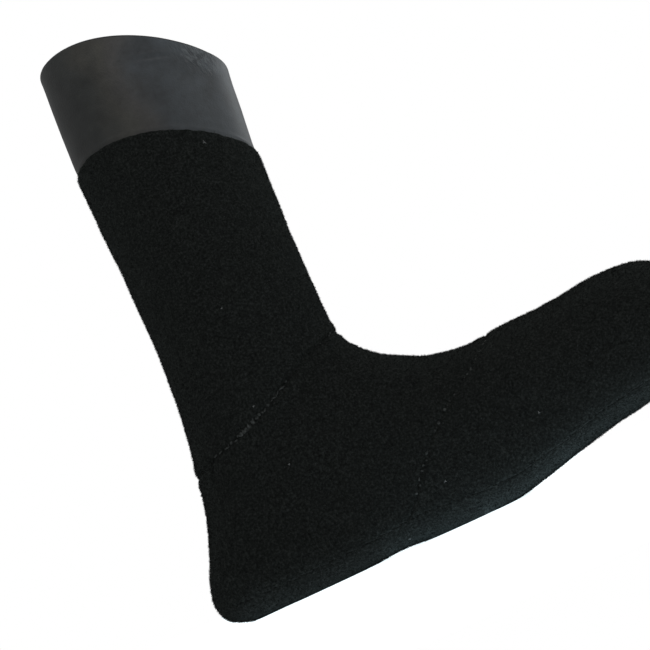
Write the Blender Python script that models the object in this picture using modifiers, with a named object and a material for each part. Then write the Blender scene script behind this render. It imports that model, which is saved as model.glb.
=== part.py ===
"""Surf boot turned lining side out: plush upper, toe panel, leg shaft and sole, with a smooth ankle seal.

Metres, +X to the toe, +Y to the outer side of the foot, +Z up. The origin is on the floor, in the middle of the
heel's flat spot. One function gives the outside of the whole boot: closed sections that fan round the ankle. Each
panel is cut from that one skin along its seam, so neighbours line up whatever the sizes.
"""

import math
from collections import namedtuple

import bmesh
import bpy
import numpy as np

# Driving dimensions
FOOT_LENGTH = 0.283  # heel back to toe tip
BALL_WIDTH = 0.100  # widest, over the ball
INSTEP_HEIGHT = 0.110  # floor to the crook of the ankle
LEG_DEPTH = 0.087  # shaft, front to back
LEG_WIDTH = 0.080  # shaft, side to side
LEG_SETBACK = 0.022  # shaft's back ahead of the heel's back
RIM_HEIGHT = 0.2356  # floor to the shaft's rim at the back
RIM_DROP = 0.0238  # how much lower the rim is in front
RIM_ARCH = 0.004  # rise of the rim at the sides
RIM_LEAN = 0.10  # its rise towards the inner side, per metre across
SEAL_RISE = 0.0594  # what shows of the ankle seal, at the back
SEAL_DROP = 0.0315  # how much lower the seal's edge is in front
SEAL_ARCH = 0.004  # rise of the seal's edge at the sides
SEAL_LEAN = 0.085  # its rise towards the inner side, per metre across
HEEL_REST = 0.045  # heel back to the middle of its flat spot

# Walls, laps and clearances
WALL = 0.0045  # neoprene with its pile
SOLE_THICKNESS = 0.0080  # lined neoprene with the rubber bonded to it
SEAL_WALL = 0.0022
SEAL_LAP = 0.012  # seal below the rim, inside the shaft
SEAL_STEP = 0.0014  # shaft's outside to the seal's outside, at the rim and above
SEAL_FLARE = 0.0105  # height below the rim over which it spreads to that step
SEAM_GAP = 0.0003

# Mesh steps
RING_STEPS = 36
SKIN_ROWS = 48
SEAL_ROWS = 20
RING_SAMPLES = 181
RUN_SAMPLES = 12
SEAM_STEPS = 28
BEYOND = 0.030  # how far a cutter runs past the boot

Section = namedtuple("Section", "low_x low_z high_x high_z half axis widest low_square high_square")

# Foot sections, from toe tip to heel. low: the point on the sole or heel line, high: on the instep line.
# x is a share of FOOT_LENGTH, z of INSTEP_HEIGHT, half width and axis (sideways curve) of BALL_WIDTH.
FOOT_SECTIONS = [
    #       low_x  low_z   high_x high_z half   axis    widest low/high squareness
    Section(1.000, 0.385, 1.000, 0.385, 0.000, -0.080, 0.50, 2.2, 2.2),
    Section(0.991, 0.282, 0.990, 0.500, 0.200, -0.075, 0.48, 2.2, 2.2),
    Section(0.961, 0.218, 0.957, 0.618, 0.335, -0.065, 0.45, 2.4, 2.2),
    Section(0.905, 0.180, 0.898, 0.715, 0.440, -0.045, 0.42, 2.8, 2.3),
    Section(0.830, 0.147, 0.827, 0.744, 0.490, -0.010, 0.42, 3.2, 2.3),
    Section(0.721, 0.100, 0.735, 0.725, 0.500, 0.030, 0.42, 3.4, 2.3),
    Section(0.629, 0.047, 0.650, 0.721, 0.480, 0.040, 0.42, 3.6, 2.3),
    Section(0.530, -0.007, 0.572, 0.712, 0.440, 0.040, 0.42, 3.6, 2.3),
    Section(0.431, -0.011, 0.498, 0.755, 0.405, 0.040, 0.42, 3.6, 2.3),
    Section(0.336, 0.007, 0.438, 0.836, 0.385, 0.035, 0.42, 3.5, 2.35),
    Section(0.233, -0.009, 0.403, 0.923, 0.370, 0.020, 0.38, 3.5, 2.4),
    Section(0.127, -0.011, 0.389, 0.982, 0.360, 0.010, 0.34, 3.2, 2.5),
    Section(0.048, 0.005, 0.386, 1.022, 0.355, 0.000, 0.32, 2.8, 2.5),
    Section(0.015, 0.042, 0.385, 1.038, 0.350, 0.000, 0.32, 2.5, 2.45),
    Section(0.003, 0.120, 0.384, 1.060, 0.350, 0.000, 0.32, 2.3, 2.4),
    Section(0.009, 0.210, 0.384, 1.085, 0.350, 0.000, 0.33, 2.2, 2.4),
    Section(0.024, 0.310, 0.384, 1.115, 0.350, 0.000, 0.35, 2.1, 2.35),
    Section(0.045, 0.473, 0.384, 1.168, 0.355, 0.000, 0.40, 2.0, 2.3),
]

# Leg sections, from ankle to collar. x is a share of LEG_DEPTH past the shaft's back (low) or front (high) line,
# z of RIM_HEIGHT, half width and axis of LEG_WIDTH.
LEG_SECTIONS = [
    #       low_x   low_z  high_x high_z half   axis   widest low/high squareness
    Section(-0.063, 0.308, 0.000, 0.570, 0.460, 0.000, 0.44, 2.0, 2.2),
    Section(-0.023, 0.404, 0.000, 0.606, 0.475, 0.000, 0.47, 2.0, 2.1),
    Section(0.006, 0.535, 0.000, 0.657, 0.490, 0.000, 0.50, 2.0, 2.0),
    Section(0.010, 0.673, 0.003, 0.720, 0.500, 0.000, 0.50, 2.0, 2.0),
    Section(0.000, 0.821, 0.016, 0.787, 0.500, 0.000, 0.50, 2.0, 2.0),
    Section(-0.013, 0.947, 0.027, 0.855, 0.500, 0.000, 0.50, 2.0, 2.0),
    Section(-0.012, 1.074, 0.033, 0.918, 0.500, 0.000, 0.50, 2.0, 2.0),
    Section(-0.004, 1.191, 0.060, 1.011, 0.500, 0.000, 0.50, 2.0, 2.0),
    Section(0.022, 1.305, 0.094, 1.131, 0.500, 0.000, 0.50, 2.0, 2.0),
]

SeamPoint = namedtuple("SeamPoint", "x z")

# Seams as seen from the side: x is a share of FOOT_LENGTH, z of INSTEP_HEIGHT.
ANKLE_SEAM = [
    SeamPoint(0.060, 0.655),
    SeamPoint(0.100, 0.680),
    SeamPoint(0.146, 0.706),
    SeamPoint(0.219, 0.778),
    SeamPoint(0.273, 0.855),
    SeamPoint(0.318, 0.923),
    SeamPoint(0.351, 0.961),
    SeamPoint(0.389, 1.009),
    SeamPoint(0.420, 1.060),
]
FOREFOOT_SEAM = [
    SeamPoint(0.350, 0.100),
    SeamPoint(0.385, 0.168),
    SeamPoint(0.406, 0.249),
    SeamPoint(0.437, 0.338),
    SeamPoint(0.473, 0.430),
    SeamPoint(0.534, 0.540),
    SeamPoint(0.587, 0.636),
    SeamPoint(0.620, 0.720),
    SeamPoint(0.645, 0.820),
]
SOLE_SEAM = [
    SeamPoint(-0.020, 0.105),
    SeamPoint(0.040, 0.098),
    SeamPoint(0.092, 0.095),
    SeamPoint(0.160, 0.095),
    SeamPoint(0.258, 0.100),
    SeamPoint(0.336, 0.112),
    SeamPoint(0.375, 0.120),
    SeamPoint(0.431, 0.112),
    SeamPoint(0.530, 0.100),
    SeamPoint(0.629, 0.140),
    SeamPoint(0.721, 0.192),
    SeamPoint(0.830, 0.240),
    SeamPoint(0.905, 0.272),
    SeamPoint(0.961, 0.305),
    SeamPoint(1.030, 0.350),
]

# Colours, as shown
PLUSH_COLOUR = (0.012, 0.013, 0.013)
SEAL_COLOUR = (0.045, 0.045, 0.048)


def clear_scene():
    for thing in list(bpy.data.objects):
        bpy.data.objects.remove(thing, do_unlink=True)


def collection(name, hidden=False):
    made = bpy.data.collections.new(name)
    bpy.context.scene.collection.children.link(made)
    made.hide_render = hidden
    return made


def material(name, colour, roughness):
    made = bpy.data.materials.new(name)
    made.use_nodes = True
    shader = made.node_tree.nodes["Principled BSDF"]
    shader.inputs["Base Color"].default_value = (*colour, 1.0)
    shader.inputs["Roughness"].default_value = roughness
    shader.inputs["Metallic"].default_value = 0.0
    made.diffuse_color = (*colour, 1.0)
    return made


def through(knots, values, at):
    """A smooth curve through the values, with slopes worked out from each knot's two neighbours."""
    values = np.asarray(values, float)
    steps = np.diff(knots)
    rises = np.diff(values) / steps
    slopes = np.empty_like(values)
    slopes[1:-1] = (rises[:-1] * steps[1:] + rises[1:] * steps[:-1]) / (steps[:-1] + steps[1:])
    slopes[0] = 2 * rises[0] - slopes[1]
    slopes[-1] = 2 * rises[-1] - slopes[-2]
    cell = np.clip(np.searchsorted(knots, at, side="right") - 1, 0, len(steps) - 1)
    width = steps[cell]
    share = (at - knots[cell]) / width
    return (
        values[cell] * (1 + 2 * share) * (1 - share) ** 2
        + width * slopes[cell] * share * (1 - share) ** 2
        + values[cell + 1] * share**2 * (3 - 2 * share)
        + width * slopes[cell + 1] * share**2 * (share - 1)
    )


def sections_in_metres():
    """Both tables as one array of rows: low_x, low_z, high_x, high_z, half, axis, widest, low and high squareness."""
    rows = []
    for s in FOOT_SECTIONS:
        rows.append((s.low_x * FOOT_LENGTH, s.low_z * INSTEP_HEIGHT, s.high_x * FOOT_LENGTH,
                     s.high_z * INSTEP_HEIGHT, s.half * BALL_WIDTH, s.axis * BALL_WIDTH,
                     s.widest, s.low_square, s.high_square))
    for s in LEG_SECTIONS:
        rows.append((LEG_SETBACK + s.low_x * LEG_DEPTH, s.low_z * RIM_HEIGHT,
                     LEG_SETBACK + LEG_DEPTH * (1 + s.high_x), s.high_z * RIM_HEIGHT,
                     s.half * LEG_WIDTH, s.axis * LEG_WIDTH, s.widest, s.low_square, s.high_square))
    return np.array(rows)


def station_knots(rows):
    """How far along the boot each section is: the mean of its steps on the sole line and on the instep line."""
    low = np.hypot(*np.diff(rows[:, 0:2], axis=0).T)
    high = np.hypot(*np.diff(rows[:, 2:4], axis=0).T)
    return np.concatenate([[0.0], np.cumsum((low + high) / 2)])


def half_ring(half, low_depth, high_depth, low_square, high_square, count):
    """One side of a section, from the sole line to the instep line, in count even steps: (outward, along)."""
    turn = np.linspace(0.0, math.pi, RING_SAMPLES)
    sine = np.clip(np.sin(turn), 0.0, 1.0)
    cosine = np.abs(np.cos(turn))
    square = np.where(turn < math.pi / 2, low_square, high_square)
    depth = np.where(turn < math.pi / 2, -low_depth, high_depth)
    outward = half * sine ** (2 / square)
    along = depth * cosine ** (2 / square)
    run = np.concatenate([[0.0], np.cumsum(np.hypot(np.diff(outward), np.diff(along)))])
    even = np.linspace(0.0, run[-1], count + 1)
    return np.interp(even, run, outward), np.interp(even, run, along)


def skin_points(stations):
    """The boot's outside at these stations: an array of rows, each a closed ring of RING_STEPS points."""
    rows = sections_in_metres()
    knots = station_knots(rows)
    columns = np.array([through(knots, rows[:, i], stations) for i in range(rows.shape[1])]).T
    rings = []
    for low_x, low_z, high_x, high_z, half, axis, widest, low_square, high_square in columns:
        low = np.array([low_x, low_z])
        high = np.array([high_x, high_z])
        depth = np.hypot(*(high - low))
        heading = (high - low) / max(depth, 1e-9)
        middle = low + widest * (high - low)
        outward, along = half_ring(max(half, 0.0), widest * depth, (1 - widest) * depth,
                                   low_square, high_square, RING_STEPS // 2)
        outward = np.concatenate([outward, -outward[-2:0:-1]])
        along = np.concatenate([along, along[-2:0:-1]])
        flat = middle + along[:, None] * heading
        rings.append(np.stack([flat[:, 0] - HEEL_REST, axis + outward, flat[:, 1]], axis=1))
    return np.array(rings)


def skin_normals(points):
    """Outward unit normals of a grid of rings."""
    around = np.roll(points, -1, axis=1) - np.roll(points, 1, axis=1)
    along = np.gradient(points, axis=0)
    normals = np.cross(along, around)
    return normals / np.maximum(np.linalg.norm(normals, axis=2, keepdims=True), 1e-12)


def grid_mesh(name, points, closed_tip=False, split=False):
    """A skin through rows of rings. With closed_tip the first ring is drawn together to one vertex.

    With split each cell is two triangles, so that skins a small gap apart bend along the same lines.
    """
    mesh = bmesh.new()
    rings = [[mesh.verts.new(p) for p in ring] for ring in points[1 if closed_tip else 0:]]
    count = len(rings[0])
    for near, far in zip(rings, rings[1:]):
        for i in range(count):
            j = (i + 1) % count
            if split:
                mesh.faces.new((near[i], far[i], far[j]))
                mesh.faces.new((near[i], far[j], near[j]))
            else:
                mesh.faces.new((near[i], far[i], far[j], near[j]))
    if closed_tip:
        tip = mesh.verts.new(points[0].mean(axis=0))
        for i in range(count):
            mesh.faces.new((tip, rings[0][i], rings[0][(i + 1) % count]))
    data = bpy.data.meshes.new(name)
    mesh.to_mesh(data)
    mesh.free()
    return data


def sole_weights(data):
    """How much of the sole's thickness each vertex of the skin takes: all of it where the skin faces down."""
    least = WALL / SOLE_THICKNESS
    return [least + (1 - least) * min(max((-v.normal.z - 0.5) / 0.35, 0.0), 1.0) for v in data.vertices]


def add_shell(thing, thickness, weights=None):
    shell = thing.modifiers.new("wall", "SOLIDIFY")
    shell.thickness = thickness
    shell.offset = -1.0
    shell.use_even_offset = True
    shell.use_rim = True
    if weights is not None:
        group = thing.vertex_groups.new(name="thick")
        for index, weight in enumerate(weights):
            group.add([index], weight, "REPLACE")
        shell.vertex_group = group.name


def side_curve(points, count=SEAM_STEPS):
    """A seam's table as a smooth curve of (x, z), seen from the side."""
    xs = np.array([p.x * FOOT_LENGTH for p in points])
    zs = np.array([p.z * INSTEP_HEIGHT for p in points])
    knots = np.concatenate([[0.0], np.cumsum(np.hypot(np.diff(xs), np.diff(zs)))])
    at = np.linspace(0.0, knots[-1], count + 1)
    return np.stack([through(knots, xs, at), through(knots, zs, at)], axis=1)


def arched_line(back, front, arch, count=SEAM_STEPS):
    """An edge across the leg from its back to its front, running on past both, raised by arch in the middle."""
    share = np.linspace(-BEYOND / LEG_DEPTH, 1 + BEYOND / LEG_DEPTH, count + 1)
    line = np.asarray(back) + share[:, None] * (np.asarray(front) - np.asarray(back))
    line[:, 1] += arch * np.sin(math.pi * np.clip(share, 0.0, 1.0))
    return line


def shifted(curve, distance):
    """The curve moved to its left by distance."""
    run = np.gradient(curve, axis=0)
    left = np.stack([-run[:, 1], run[:, 0]], axis=1)
    return curve + distance * left / np.linalg.norm(left, axis=1, keepdims=True)


def leaning(line, lean):
    """The points of an edge with a third value: how much the edge climbs per metre towards the inner side."""
    return [(x, z, lean) for x, z in line]


def rim_line():
    back = (LEG_SETBACK, RIM_HEIGHT)
    front = (LEG_SETBACK + LEG_DEPTH, RIM_HEIGHT - RIM_DROP)
    return arched_line(back, front, RIM_ARCH)


def seal_line():
    height = RIM_HEIGHT + SEAL_RISE
    back = (LEG_SETBACK, height)
    front = (LEG_SETBACK + LEG_DEPTH, height - SEAL_DROP)
    return arched_line(back, front, SEAL_ARCH)


def block(name, outline, cutters):
    """A cutter: a side outline drawn through the whole width of the boot. A third value makes a point lean."""
    mesh = bmesh.new()
    reach = BALL_WIDTH
    sides = []
    for y in (-reach, reach):
        sides.append([mesh.verts.new((x - HEEL_REST, y, z - y * sum(lean))) for x, z, *lean in outline])
    mesh.faces.new(sides[0])
    mesh.faces.new(reversed(sides[1]))
    for i in range(len(outline)):
        mesh.faces.new((sides[0][i - 1], sides[1][i - 1], sides[1][i], sides[0][i]))
    bmesh.ops.recalc_face_normals(mesh, faces=mesh.faces)
    data = bpy.data.meshes.new(name)
    mesh.to_mesh(data)
    mesh.free()
    made = bpy.data.objects.new(name, data)
    made.hide_render = True
    made.display_type = "WIRE"
    cutters.objects.link(made)
    return made


def meeting(first, second):
    """Where two side curves cross: (last point of first before it, last point of second before it, the point)."""
    for i, (a, b) in enumerate(zip(first, first[1:])):
        for j, (c, d) in enumerate(zip(second, second[1:])):
            along, across = b - a, d - c
            turn = along[0] * across[1] - along[1] * across[0]
            if turn == 0:
                continue
            share = ((c - a)[0] * across[1] - (c - a)[1] * across[0]) / turn
            other = ((c - a)[0] * along[1] - (c - a)[1] * along[0]) / turn
            if 0 <= share <= 1 and 0 <= other <= 1:
                return i, j, a + share * along
    raise ValueError("these seams don't meet")


def side_outlines():
    """What each panel keeps of the skin, as side outlines bounded by the seams, half the seam gap inside them."""
    half = SEAM_GAP / 2
    ankle = side_curve(ANKLE_SEAM)
    forefoot = side_curve(FOREFOOT_SEAM)
    sole = side_curve(SOLE_SEAM)
    behind = -BEYOND
    ahead = FOOT_LENGTH + BEYOND
    above = ankle[-1, 1] + BEYOND
    in_front = LEG_SETBACK + LEG_DEPTH + BEYOND
    over_ankle, under_ankle = shifted(ankle, half), shifted(ankle, -half)
    over_sole, under_sole = shifted(sole, half), shifted(sole, -half)
    back_of_seam, front_of_seam = shifted(forefoot, half), shifted(forefoot, -half)
    i, j, back_corner = meeting(back_of_seam, over_sole)
    m, n, front_corner = meeting(front_of_seam, over_sole)
    return {
        "shaft": [(behind, over_ankle[0, 1]), *over_ankle, (in_front, above),
                  *reversed(leaning(rim_line(), RIM_LEAN))],
        "upper": [
            (behind, over_sole[0, 1]), *over_sole[: j + 1], back_corner, *back_of_seam[i + 1 :],
            (back_of_seam[-1, 0], above), (in_front, above), *reversed(under_ankle), (behind, under_ankle[0, 1]),
        ],
        "toe_panel": [
            front_corner, *over_sole[n + 1 :], (ahead, over_sole[-1, 1]), (ahead, above),
            (front_of_seam[-1, 0], above), *reversed(front_of_seam[m + 1 :]),
        ],
        "sole": [(behind, 0.0), (ahead, 0.0), (ahead, under_sole[-1, 1]), *reversed(under_sole),
                 (behind, under_sole[0, 1])],
    }


def panel(name, skin, outline, look, parts, cutters):
    """One panel: the whole skin as a shell, of which only what lies inside the panel's outline is kept."""
    made = bpy.data.objects.new(name, skin.copy())
    parts.objects.link(made)
    made.data.materials.append(look)
    add_shell(made, SOLE_THICKNESS, sole_weights(made.data))
    keep = made.modifiers.new("seams", "BOOLEAN")
    keep.operation = "INTERSECT"
    keep.solver = "EXACT"
    keep.object = block(name + "_region", outline, cutters)
    return made


def even_stations(first, last, count):
    """Stations a like distance apart on whichever of the sole and instep lines moves faster there."""
    rows = sections_in_metres()
    knots = station_knots(rows)
    fine = np.linspace(first, last, count * RUN_SAMPLES)
    low = np.hypot(np.diff(through(knots, rows[:, 0], fine)), np.diff(through(knots, rows[:, 1], fine)))
    high = np.hypot(np.diff(through(knots, rows[:, 2], fine)), np.diff(through(knots, rows[:, 3], fine)))
    run = np.concatenate([[0.0], np.cumsum(np.maximum(low, high))])
    return np.interp(np.linspace(0.0, run[-1], count + 1), run, fine)


def boot_skin():
    knots = station_knots(sections_in_metres())
    return grid_mesh("boot_skin", skin_points(even_stations(0.0, knots[-2], SKIN_ROWS)), closed_tip=True)


def seal_points(clearance=0.0):
    """The seal's outside: the boot's own form, inside the shaft's wall at the lap and spread to its step at the rim."""
    rows = sections_in_metres()
    knots = station_knots(rows)
    stations = np.linspace(knots[-5], knots[-1], SEAL_ROWS + 1)
    points = skin_points(stations)
    normals = skin_normals(points)
    rim = rim_line()
    rim_z = np.interp(points[:, :, 0] + HEEL_REST, rim[:, 0], rim[:, 1]) - RIM_LEAN * points[:, :, 1]
    above = points[:, :, 2] - rim_z
    share = np.clip(1 + above / SEAL_FLARE, 0.0, 1.0)
    spread = share * share * (3 - 2 * share)
    lapped = WALL + 2 * SEAM_GAP
    inset = lapped + spread * (SEAL_STEP - lapped) - clearance
    return points - normals * inset[:, :, None]


def seal_plug(cutters):
    """A closed plug of the seal's form, larger by the seam gap. It skives the shaft's wall thin under the rim."""
    data = grid_mesh("seal_plug", seal_points(SEAM_GAP), split=True)
    mesh = bmesh.new()
    mesh.from_mesh(data)
    bmesh.ops.holes_fill(mesh, edges=[e for e in mesh.edges if e.is_boundary], sides=0)
    bmesh.ops.recalc_face_normals(mesh, faces=mesh.faces)
    mesh.to_mesh(data)
    mesh.free()
    made = bpy.data.objects.new("seal_plug", data)
    made.hide_render = True
    made.display_type = "WIRE"
    cutters.objects.link(made)
    return made


def ankle_seal(look, parts, cutters):
    made = bpy.data.objects.new("ankle_seal", grid_mesh("seal_skin", seal_points(), split=True))
    parts.objects.link(made)
    made.data.materials.append(look)
    add_shell(made, SEAL_WALL)
    lap = leaning(rim_line() - np.array([0.0, SEAL_LAP]), RIM_LEAN)
    edge = leaning(reversed(seal_line()), SEAL_LEAN)
    keep = made.modifiers.new("edges", "BOOLEAN")
    keep.operation = "INTERSECT"
    keep.solver = "EXACT"
    keep.object = block("ankle_seal_region", [*lap, *edge], cutters)
    return made


def main():
    clear_scene()
    parts = collection("surf_boot")
    cutters = collection("cutters", hidden=True)
    skin = boot_skin()
    panels = {}
    for name, outline in side_outlines().items():
        panels[name] = panel(name, skin, outline, material(name, PLUSH_COLOUR, 0.95), parts, cutters)
    skived = panels["shaft"].modifiers.new("skived_rim", "BOOLEAN")
    skived.operation = "DIFFERENCE"
    skived.solver = "EXACT"
    skived.object = seal_plug(cutters)
    ankle_seal(material("ankle_seal", SEAL_COLOUR, 0.45), parts, cutters)


main()
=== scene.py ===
# %% [markdown]
# # A surf boot, turned lining side out
# A surf boot is a thick sock of foam rubber. It keeps warm because its lining is a deep black plush.
# Here the boot is turned inside out: the plush is on the outside, and the smooth ankle seal stands up
# out of the slanted rim. The rubber outsole is now on the hidden side, so the sole shows plush as well.
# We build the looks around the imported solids: a fine skin over the same form, a pile of real fibres,
# seams and light.

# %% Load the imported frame
import itertools
import math
from collections import namedtuple

import bpy
import numpy as np
from mathutils import Matrix, Vector


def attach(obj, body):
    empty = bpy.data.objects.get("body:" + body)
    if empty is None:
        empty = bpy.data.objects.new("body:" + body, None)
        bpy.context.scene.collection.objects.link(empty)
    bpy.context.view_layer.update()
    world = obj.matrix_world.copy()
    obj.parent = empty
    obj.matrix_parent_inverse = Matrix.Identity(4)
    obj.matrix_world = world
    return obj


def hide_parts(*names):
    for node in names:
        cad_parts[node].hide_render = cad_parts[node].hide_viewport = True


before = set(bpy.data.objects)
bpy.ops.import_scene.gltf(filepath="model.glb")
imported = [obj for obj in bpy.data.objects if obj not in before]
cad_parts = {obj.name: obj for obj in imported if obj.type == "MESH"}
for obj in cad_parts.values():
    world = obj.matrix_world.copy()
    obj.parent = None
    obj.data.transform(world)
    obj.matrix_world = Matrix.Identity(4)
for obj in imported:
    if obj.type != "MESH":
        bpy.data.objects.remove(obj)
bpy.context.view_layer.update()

MM = 0.001
print("solids in the frame:", sorted(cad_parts))

# %% [markdown]
# ## The boot's own form
# A boot is easiest to describe by closed sections that fan round the ankle like the pages of a book.
# Each section has a low point, on the sole or the back, and a high point, on the instep or the front.
# The tables below are the ones that made the solids, as shares of named sizes, so the fine skin lies
# where the solids lie.

# %% Sizes that the form follows, in metres
FOOT_LENGTH = 0.283
BALL_WIDTH = 0.100
INSTEP_HEIGHT = 0.110
LEG_DEPTH = 0.087
LEG_WIDTH = 0.080
LEG_SETBACK = 0.022  # from the heel's back to the leg's back
RIM_HEIGHT = 0.2356
RIM_DROP = 0.0238
RIM_ARCH = 0.004  # the rim rises in the middle of the side
RIM_LEAN = 0.10  # and climbs towards the inner side
SEAL_RISE = 0.0594
SEAL_DROP = 0.0315
SEAL_ARCH = 0.004
SEAL_LEAN = 0.085
HEEL_REST = 0.045  # from the heel's back to the middle of its flat spot
WALL = 0.0045
SOLE_THICKNESS = 0.0080
SEAL_WALL = 0.0022
SEAL_LAP = 0.012  # how far the seal reaches down inside the leg
SEAL_STEP = 0.0014  # how far it lies inside the boot's outline above the rim
SEAL_FLARE = 0.0105  # the height over which the leg's wall thins to let it out
SEAM_GAP = 0.0003

print("foot", FOOT_LENGTH, "leg", LEG_DEPTH, "x", LEG_WIDTH, "rim at", RIM_HEIGHT)

# %% Sections of the foot and the leg
Section = namedtuple("Section", "low_x low_z high_x high_z half axis widest low_square high_square")

FOOT_SECTIONS = [Section(*row) for row in (
    (1.000, 0.385, 1.000, 0.385, 0.000, -0.080, 0.50, 2.2, 2.2),
    (0.991, 0.282, 0.990, 0.500, 0.200, -0.075, 0.48, 2.2, 2.2),
    (0.961, 0.218, 0.957, 0.618, 0.335, -0.065, 0.45, 2.4, 2.2),
    (0.905, 0.180, 0.898, 0.715, 0.440, -0.045, 0.42, 2.8, 2.3),
    (0.830, 0.147, 0.827, 0.744, 0.490, -0.010, 0.42, 3.2, 2.3),
    (0.721, 0.100, 0.735, 0.725, 0.500, 0.030, 0.42, 3.4, 2.3),
    (0.629, 0.047, 0.650, 0.721, 0.480, 0.040, 0.42, 3.6, 2.3),
    (0.530, -0.007, 0.572, 0.712, 0.440, 0.040, 0.42, 3.6, 2.3),
    (0.431, -0.011, 0.498, 0.755, 0.405, 0.040, 0.42, 3.6, 2.3),
    (0.336, 0.007, 0.438, 0.836, 0.385, 0.035, 0.42, 3.5, 2.35),
    (0.233, -0.009, 0.403, 0.923, 0.370, 0.020, 0.38, 3.5, 2.4),
    (0.127, -0.011, 0.389, 0.982, 0.360, 0.010, 0.34, 3.2, 2.5),
    (0.048, 0.005, 0.386, 1.022, 0.355, 0.000, 0.32, 2.8, 2.5),
    (0.015, 0.042, 0.385, 1.038, 0.350, 0.000, 0.32, 2.5, 2.45),
    (0.003, 0.120, 0.384, 1.060, 0.350, 0.000, 0.32, 2.3, 2.4),
    (0.009, 0.210, 0.384, 1.085, 0.350, 0.000, 0.33, 2.2, 2.4),
    (0.024, 0.310, 0.384, 1.115, 0.350, 0.000, 0.35, 2.1, 2.35),
    (0.045, 0.473, 0.384, 1.168, 0.355, 0.000, 0.40, 2.0, 2.3),
)]
LEG_SECTIONS = [Section(*row) for row in (
    (-0.063, 0.308, 0.000, 0.570, 0.460, 0.000, 0.44, 2.0, 2.2),
    (-0.023, 0.404, 0.000, 0.606, 0.475, 0.000, 0.47, 2.0, 2.1),
    (0.006, 0.535, 0.000, 0.657, 0.490, 0.000, 0.50, 2.0, 2.0),
    (0.010, 0.673, 0.003, 0.720, 0.500, 0.000, 0.50, 2.0, 2.0),
    (0.000, 0.821, 0.016, 0.787, 0.500, 0.000, 0.50, 2.0, 2.0),
    (-0.013, 0.947, 0.027, 0.855, 0.500, 0.000, 0.50, 2.0, 2.0),
    (-0.012, 1.074, 0.033, 0.918, 0.500, 0.000, 0.50, 2.0, 2.0),
    (-0.004, 1.191, 0.060, 1.011, 0.500, 0.000, 0.50, 2.0, 2.0),
    (0.022, 1.305, 0.094, 1.131, 0.500, 0.000, 0.50, 2.0, 2.0),
)]
print(len(FOOT_SECTIONS), "foot sections and", len(LEG_SECTIONS), "leg sections")

# %% Seams as seen from the side: shares of the foot's length and of the instep's height
ANKLE_SEAM = [
    (0.060, 0.655), (0.100, 0.680), (0.146, 0.706), (0.219, 0.778),
    (0.273, 0.855), (0.318, 0.923), (0.351, 0.961), (0.389, 1.009),
    (0.420, 1.060),
]
FOREFOOT_SEAM = [
    (0.350, 0.100), (0.385, 0.168), (0.406, 0.249), (0.437, 0.338),
    (0.473, 0.430), (0.534, 0.540), (0.587, 0.636), (0.620, 0.720),
    (0.645, 0.820),
]
SOLE_SEAM = [
    (-0.020, 0.105), (0.040, 0.098), (0.092, 0.095), (0.160, 0.095),
    (0.258, 0.100), (0.336, 0.112), (0.375, 0.120), (0.431, 0.112),
    (0.530, 0.100), (0.629, 0.140), (0.721, 0.192), (0.830, 0.240),
    (0.905, 0.272), (0.961, 0.305), (1.030, 0.350),
]
print("points that mark the seams:", len(ANKLE_SEAM), len(FOREFOOT_SEAM), len(SOLE_SEAM))

# %% [markdown]
# ## A smooth skin through the sections
# Sections alone would give a boot with flat bands. A smooth curve through each column of the table
# fills in between. The same curve serves for the seams, which a pattern cutter would also draw
# through a few marked points.

# %% A smooth curve through values


def through(knots, values, at):
    """A smooth curve through the values, with slopes worked out from each knot's two neighbours."""
    values = np.asarray(values, float)
    steps = np.diff(knots)
    rises = np.diff(values) / steps
    slopes = np.empty_like(values)
    slopes[1:-1] = (rises[:-1] * steps[1:] + rises[1:] * steps[:-1]) / (steps[:-1] + steps[1:])
    slopes[0] = 2 * rises[0] - slopes[1]
    slopes[-1] = 2 * rises[-1] - slopes[-2]
    cell = np.clip(np.searchsorted(knots, at, side="right") - 1, 0, len(steps) - 1)
    width = steps[cell]
    share = (at - knots[cell]) / width
    return (
        values[cell] * (1 + 2 * share) * (1 - share) ** 2
        + width * slopes[cell] * share * (1 - share) ** 2
        + values[cell + 1] * share**2 * (3 - 2 * share)
        + width * slopes[cell + 1] * share**2 * (share - 1)
    )


print("through 0, 1 and 4, a quarter of the way:", through(np.array([0, 1, 2]), [0, 1, 4], 0.5))

# %% The sections in metres


def sections_in_metres():
    rows = []
    for s in FOOT_SECTIONS:
        rows.append((s.low_x * FOOT_LENGTH, s.low_z * INSTEP_HEIGHT, s.high_x * FOOT_LENGTH,
                     s.high_z * INSTEP_HEIGHT, s.half * BALL_WIDTH, s.axis * BALL_WIDTH,
                     s.widest, s.low_square, s.high_square))
    for s in LEG_SECTIONS:
        rows.append((LEG_SETBACK + s.low_x * LEG_DEPTH, s.low_z * RIM_HEIGHT,
                     LEG_SETBACK + LEG_DEPTH * (1 + s.high_x), s.high_z * RIM_HEIGHT,
                     s.half * LEG_WIDTH, s.axis * LEG_WIDTH, s.widest, s.low_square, s.high_square))
    return np.array(rows)


def station_knots(rows):
    low = np.hypot(*np.diff(rows[:, 0:2], axis=0).T)
    high = np.hypot(*np.diff(rows[:, 2:4], axis=0).T)
    return np.concatenate([[0.0], np.cumsum((low + high) / 2)])


SECTION_ROWS = sections_in_metres()
KNOTS = station_knots(SECTION_ROWS)
print("the boot's length along its middle, mm:", round(KNOTS[-1] / MM, 1))

# %% One side of a section
RING_SAMPLES = 721
AROUND = 264  # cells round the boot, about 1 mm each


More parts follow.
